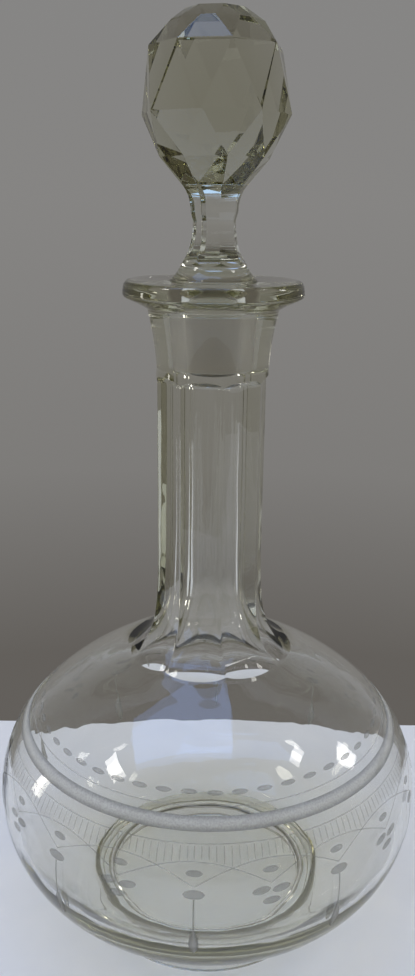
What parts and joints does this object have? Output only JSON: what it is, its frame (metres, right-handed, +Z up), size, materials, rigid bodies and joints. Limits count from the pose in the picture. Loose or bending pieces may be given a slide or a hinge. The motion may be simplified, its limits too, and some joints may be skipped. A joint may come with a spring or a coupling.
{
  "type": "decanter",
  "caption": "Globe-and-shaft glass decanter with a fluted neck, wide lip and low foot ring, closed by a ground, facet-cut glass stopper that lifts out.",
  "frame": {"origin": "centre of the foot ring, on the surface that the decanter stands on", "axes": "+Z up along the axis of bottle and stopper; -Y is the side that faces the picture's camera"},
  "size_m": [0.1514, 0.1514, 0.3125],
  "materials": {
    "bottle_glass": "polished lead glass, frosted where ground and engraved",
    "stopper_glass": "polished facet-cut lead glass with a ground plug"
  },
  "bodies": {
    "bottle": {"bottle": "bottle_glass"},
    "stopper": {"stopper": "stopper_glass"}
  },
  "joints": [
    {"name": "stopper_lift", "type": "slide", "parent": "bottle", "child": "stopper", "axis": [0, 0, 1], "range_m": [0, 0.045]}
  ]
}
